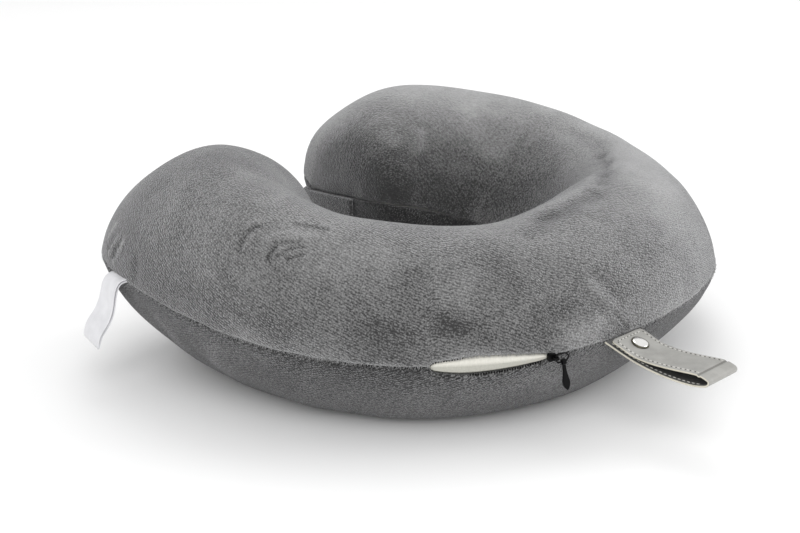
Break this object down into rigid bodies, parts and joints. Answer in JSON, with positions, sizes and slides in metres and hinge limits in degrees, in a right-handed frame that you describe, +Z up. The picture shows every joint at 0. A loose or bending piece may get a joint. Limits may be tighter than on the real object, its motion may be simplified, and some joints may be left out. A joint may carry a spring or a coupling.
{
  "type": "travel neck pillow",
  "caption": "U-shaped travel neck pillow of foam in a zipped grey plush cover, with a snapped leather carrying loop and a care label.",
  "frame": {"origin": "on the floor, in the flat under the middle of the back of the neck", "axes": "+Z up from the underside, -Y towards the open mouth of the U, +X towards the arm with the care label"},
  "size_m": [0.3007, 0.2978, 0.1023],
  "materials": {
    "plush": "short dense pile, matt with a soft sheen at grazing angles",
    "plush_under": "short dense pile, matt",
    "foam": "knitted liner over moulded foam, matt",
    "zip": "satin black",
    "leather": "smooth satin grain",
    "nickel": "polished nickel",
    "satin": "satin ribbon"
  },
  "bodies": {
    "root": {"core": "foam", "cover_upper": "plush", "cover_lower": "plush_under", "zip_tape_upper": "zip", "zip_tape_lower": "zip", "zip_slider": "zip", "zip_link": "zip", "zip_pull": "zip", "loop": "leather", "snap_cap": "nickel", "snap_back": "nickel", "label": "satin", "closure_strap": "plush"}
  },
  "joints": []
}
